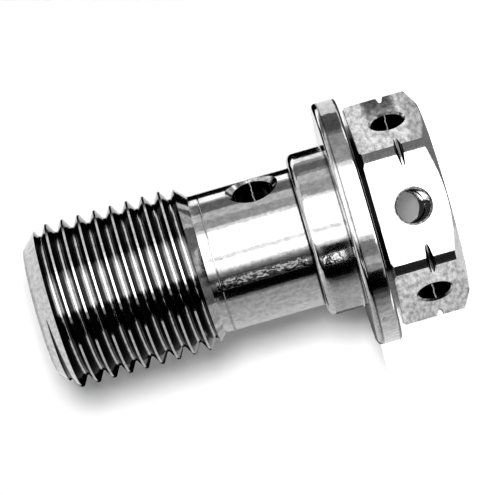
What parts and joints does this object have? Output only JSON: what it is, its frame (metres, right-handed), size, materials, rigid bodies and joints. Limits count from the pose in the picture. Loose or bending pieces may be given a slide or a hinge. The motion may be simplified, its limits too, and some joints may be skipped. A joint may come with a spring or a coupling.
{
  "type": "banjo bolt",
  "caption": "Hollow hexagon-head flange bolt that clamps a ring fitting and feeds fluid from its cross hole through its bore, with a drilled head for lock wire.",
  "frame": {"origin": "middle of the head's end face", "axes": "+Z along the bolt's axis to the threaded tip, and -Y square out of the flat that faces the viewer in the picture"},
  "size_m": [0.015, 0.015, 0.0249],
  "materials": {
    "bolt_steel": "turned and milled, then polished"
  },
  "bodies": {
    "root": {"banjo_bolt": "bolt_steel"}
  },
  "joints": []
}
